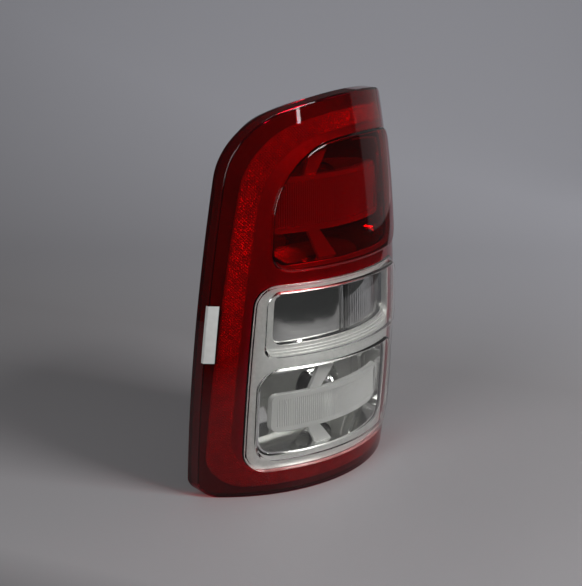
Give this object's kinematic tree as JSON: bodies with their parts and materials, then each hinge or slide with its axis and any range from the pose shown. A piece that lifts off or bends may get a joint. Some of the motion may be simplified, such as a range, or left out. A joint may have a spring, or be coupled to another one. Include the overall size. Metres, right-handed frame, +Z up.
{
  "type": "tail light cluster",
  "caption": "Wrap-round vehicle tail lamp with a red stop and tail field, a reflex band and a clear window over the turn and reverse lamps, with a sealed rear housing and screw tabs.",
  "frame": {"origin": "middle of the two screw tab holes, on the tabs' seating face", "axes": "+Z up as fitted, +Y into the vehicle along the lens's draw direction, +X outboard"},
  "size_m": [0.2878, 0.1635, 0.435],
  "materials": {
    "red_lens": "clear glossy red moulding",
    "clear_lens": "clear glossy moulding",
    "reflex_plastic": "red prism reflector sheet",
    "dark_bezel": "dark moulded",
    "field_coating": "satin metallised plastic",
    "satin_bezel": "satin metallised plastic",
    "mirror_coating": "bright metallised plastic",
    "clear_optic": "clear fluted moulding",
    "bulb_glass": "clear",
    "socket_plastic": "moulded",
    "seal_rubber": "matte",
    "housing_plastic": "moulded, fine grain",
    "bushing_metal": "plated",
    "pin_plastic": "moulded",
    "gasket_foam": "closed-cell foam",
    "vent_rubber": "matte",
    "label_paper": "plain paper"
  },
  "bodies": {
    "root": {"lens_red": "red_lens", "lens_clear": "clear_lens", "reflex_band": "reflex_plastic", "rim_bezel": "dark_bezel", "field_bezel": "field_coating", "signal_bezel": "satin_bezel", "stop_reflector": "mirror_coating", "turn_reflector": "mirror_coating", "reverse_reflector": "mirror_coating", "stop_optic": "clear_optic", "turn_optic": "clear_optic", "reverse_optic": "clear_optic", "stop_bulb": "bulb_glass", "turn_bulb": "bulb_glass", "reverse_bulb": "bulb_glass", "stop_socket": "socket_plastic", "turn_socket": "socket_plastic", "reverse_socket": "socket_plastic", "stop_seal": "seal_rubber", "turn_seal": "seal_rubber", "reverse_seal": "seal_rubber", "housing": "housing_plastic", "tab_bushings": "bushing_metal", "upper_locating_pin": "pin_plastic", "lower_locating_pin": "pin_plastic", "foam_gasket": "gasket_foam", "upper_vent_cap": "vent_rubber", "lower_vent_cap": "vent_rubber", "blank_label": "label_paper"}
  },
  "joints": []
}
